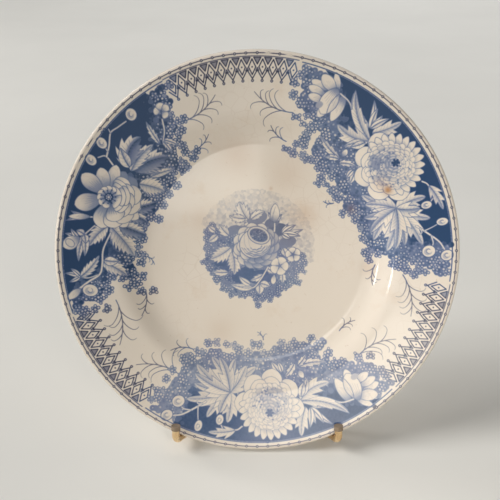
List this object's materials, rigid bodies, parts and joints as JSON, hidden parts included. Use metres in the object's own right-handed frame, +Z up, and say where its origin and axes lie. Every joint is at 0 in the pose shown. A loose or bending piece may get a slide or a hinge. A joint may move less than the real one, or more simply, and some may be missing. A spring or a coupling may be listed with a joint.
{
  "type": "platter on display stand",
  "caption": "Round glazed china platter with blue printed flowers, leaning on a folding brass rod easel stand that hooks its rim.",
  "frame": {"origin": "on the table, at the middle of the object's footprint box", "axes": "+Z up, -Y the way the platter faces, +X to the right of someone looking at its face"},
  "size_m": [0.26, 0.1447, 0.253],
  "materials": {
    "glazed_china": "glossy ivory glaze over cobalt blue print",
    "brass": "polished, lightly worn",
    "clear_vinyl": "clear, slightly yellowed",
    "dark_vinyl": "satin brown",
    "foot_rubber": "matte"
  },
  "bodies": {
    "stand": {"left_side_rod": "brass", "right_side_rod": "brass", "top_bar": "brass", "cross_bar": "brass", "left_finial": "brass", "right_finial": "brass", "left_hinge_lug": "brass", "right_hinge_lug": "brass", "hinge_pin": "brass", "pin_nuts": "brass", "left_upper_sleeve": "clear_vinyl", "left_lower_sleeve": "clear_vinyl", "right_upper_sleeve": "clear_vinyl", "right_lower_sleeve": "clear_vinyl", "left_hook_cap": "dark_vinyl", "right_hook_cap": "dark_vinyl", "left_front_foot": "foot_rubber", "right_front_foot": "foot_rubber"},
    "platter": {"platter": "glazed_china"},
    "rear_leg": {"rear_leg": "brass", "left_knuckle": "brass", "right_knuckle": "brass", "left_rear_foot": "foot_rubber", "right_rear_foot": "foot_rubber"}
  },
  "joints": [
    {"name": "rear_leg_fold", "type": "hinge", "parent": "stand", "child": "rear_leg", "pos_m": [0, 0.01863, 0.19887], "axis": [1, 0, 0], "range_deg": [-28, 0]},
    {"name": "platter_lift", "type": "slide", "parent": "stand", "child": "platter", "axis": [0, 0.2588, 0.9659], "range_m": [0, 0.12]}
  ]
}
